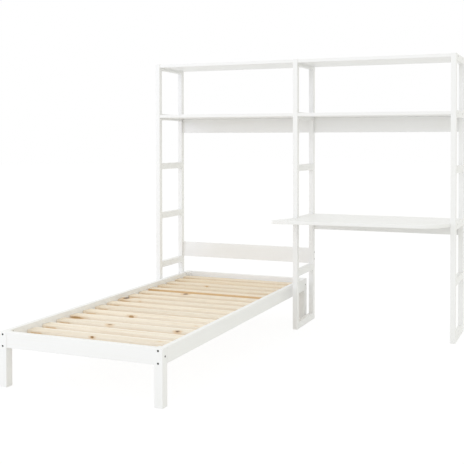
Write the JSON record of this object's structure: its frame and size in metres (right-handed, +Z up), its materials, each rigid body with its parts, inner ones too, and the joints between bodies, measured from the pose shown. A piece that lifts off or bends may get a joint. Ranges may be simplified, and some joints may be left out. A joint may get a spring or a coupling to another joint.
{
  "type": "bookcase headboard bed",
  "caption": "Low single bed with a natural slatted base, standing head end in a white ladder-gable bookcase with open shelves, a headboard board and a built-in desk.",
  "frame": {"origin": "on the floor, in the middle of the bounding box of bed, bookcase and desk together", "axes": "+X along the bookcase from the bed's bay to the desk's bay, +Y from the bed's foot towards the wall, +Z up"},
  "size_m": [2.194, 2.11, 1.87],
  "materials": {
    "white_lacquer": "satin white lacquer on solid pine, faintly open grain",
    "natural_pine": "planed untreated pine with knots",
    "beech": "fluted beech dowel",
    "bolt_steel": "dark passivated steel",
    "zinc_steel": "zinc plated steel",
    "woven_tape": "woven polyester tape"
  },
  "bodies": {
    "root": {"bed_barrel_nuts": "zinc_steel", "bed_bolts": "bolt_steel", "bed_dowels": "beech", "bed_foot_rail": "white_lacquer", "bed_head_rail": "white_lacquer", "bed_leg_foot_left": "white_lacquer", "bed_leg_foot_right": "white_lacquer", "bed_leg_head_left": "white_lacquer", "bed_leg_head_right": "white_lacquer", "bed_side_rail_left": "white_lacquer", "bed_side_rail_right": "white_lacquer", "book_shelf_left": "white_lacquer", "book_shelf_right": "white_lacquer", "brace_board_left": "white_lacquer", "brace_board_right": "white_lacquer", "desk_back_board": "white_lacquer", "desk_top": "white_lacquer", "gable_dowels": "beech", "headboard": "white_lacquer", "ledge_screws": "bolt_steel", "left_gable_back_post": "white_lacquer", "left_gable_bottom_rail": "white_lacquer", "left_gable_front_post": "white_lacquer", "left_gable_rungs": "white_lacquer", "left_gable_top_rail": "white_lacquer", "middle_gable_back_post": "white_lacquer", "middle_gable_bottom_rail": "white_lacquer", "middle_gable_front_post": "white_lacquer", "middle_gable_rungs": "white_lacquer", "middle_gable_studs": "zinc_steel", "middle_gable_top_rail": "white_lacquer", "right_gable_back_post": "white_lacquer", "right_gable_bottom_rail": "white_lacquer", "right_gable_front_post": "white_lacquer", "right_gable_rungs": "white_lacquer", "right_gable_top_rail": "white_lacquer", "shelf_barrel_nuts": "zinc_steel", "shelf_bolts": "bolt_steel", "slat_01": "natural_pine", "slat_02": "natural_pine", "slat_03": "natural_pine", "slat_04": "natural_pine", "slat_05": "natural_pine", "slat_06": "natural_pine", "slat_07": "natural_pine", "slat_08": "natural_pine", "slat_09": "natural_pine", "slat_10": "natural_pine", "slat_11": "natural_pine", "slat_12": "natural_pine", "slat_13": "natural_pine", "slat_14": "natural_pine", "slat_15": "natural_pine", "slat_16": "natural_pine", "slat_ledge_left": "natural_pine", "slat_ledge_right": "natural_pine", "slat_tapes": "woven_tape", "top_shelf_left": "white_lacquer", "top_shelf_right": "white_lacquer"}
  },
  "joints": []
}
